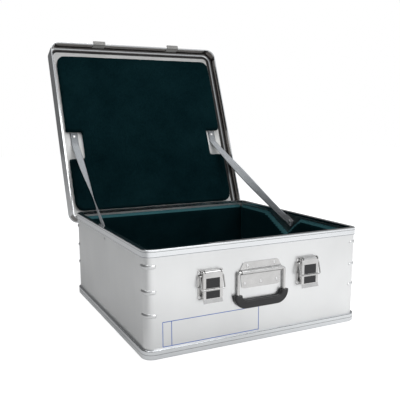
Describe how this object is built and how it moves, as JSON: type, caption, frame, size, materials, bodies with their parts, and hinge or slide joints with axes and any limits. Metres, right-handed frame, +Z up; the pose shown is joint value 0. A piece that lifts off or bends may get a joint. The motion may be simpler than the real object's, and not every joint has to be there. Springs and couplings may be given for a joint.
{
  "type": "transport case with hinged lid",
  "caption": "Sheet aluminium transport case, lined with foam, with a hinged lid held open by webbing straps, draw latches and a drop handle.",
  "frame": {"origin": "middle of the case's underside, on the surface that it stands on", "axes": "+Z up, -Y to the front with the handle and latches, +X to the right seen from the front"},
  "size_m": [0.617, 0.9025, 0.8085],
  "materials": {
    "wall": "satin",
    "frame": "brushed",
    "felt": "foam with a felt face",
    "seal": "matt",
    "board": "satin white",
    "steel": "stainless",
    "rivet": "satin",
    "grip": "black, fine grain",
    "inlay": "black, satin",
    "webbing": "woven polyester"
  },
  "bodies": {
    "case": {"case_shell": "wall", "case_floor": "wall", "case_bottom_frame": "frame", "case_rim_frame": "frame", "liner_floor": "felt", "liner_front": "felt", "liner_back": "felt", "liner_left": "felt", "liner_right": "felt", "handle_bracket": "steel", "handle_rivets": "rivet", "hinge_case_rivets": "rivet", "latch_left_base": "steel", "latch_left_rivets": "rivet", "latch_left_pin": "steel", "hinge_left_case_leaf": "steel", "hinge_left_pin": "steel", "strap_left_case_rivet": "rivet", "latch_right_base": "steel", "latch_right_rivets": "rivet", "latch_right_pin": "steel", "hinge_right_case_leaf": "steel", "hinge_right_pin": "steel", "strap_right_case_rivet": "rivet"},
    "lid": {"lid_frame": "frame", "lid_panel": "wall", "lid_gasket": "seal", "lid_inner_sheet": "board", "lid_pad": "felt", "catch_rivets": "rivet", "hinge_lid_rivets": "rivet", "catch_left": "steel", "hinge_left_lid_leaf": "steel", "strap_left_lid_rivet": "rivet", "strap_left": "webbing", "catch_right": "steel", "hinge_right_lid_leaf": "steel", "strap_right_lid_rivet": "rivet", "strap_right": "webbing"},
    "handle": {"handle_bail": "steel", "handle_grip": "grip"},
    "latch_left_lever": {"latch_left_lever": "steel", "latch_left_inlays": "inlay"},
    "latch_left_bail": {"latch_left_bail": "steel"},
    "latch_right_lever": {"latch_right_lever": "steel", "latch_right_inlays": "inlay"},
    "latch_right_bail": {"latch_right_bail": "steel"}
  },
  "joints": [
    {"name": "lid_hinge", "type": "hinge", "parent": "case", "child": "lid", "pos_m": [0, 0.313, 0.221], "axis": [1, 0, 0], "range_deg": [0, 111.2], "deforming": ["strap_left", "strap_right"]},
    {"name": "handle_swing", "type": "hinge", "parent": "case", "child": "handle", "pos_m": [0, -0.3025, 0.178], "axis": [-1, 0, 0], "range_deg": [0, 90]},
    {"name": "latch_left_lever_swing", "type": "hinge", "parent": "case", "child": "latch_left_lever", "pos_m": [-0.138, -0.3056, 0.19], "axis": [-1, 0, 0], "range_deg": [0, 135]},
    {"name": "latch_left_bail_swing", "type": "hinge", "parent": "latch_left_lever", "child": "latch_left_bail", "pos_m": [-0.138, -0.3045, 0.183], "axis": [1, 0, 0], "range_deg": [-155, 0]},
    {"name": "latch_right_lever_swing", "type": "hinge", "parent": "case", "child": "latch_right_lever", "pos_m": [0.138, -0.3056, 0.19], "axis": [-1, 0, 0], "range_deg": [0, 135]},
    {"name": "latch_right_bail_swing", "type": "hinge", "parent": "latch_right_lever", "child": "latch_right_bail", "pos_m": [0.138, -0.3045, 0.183], "axis": [1, 0, 0], "range_deg": [-155, 0]}
  ]
}
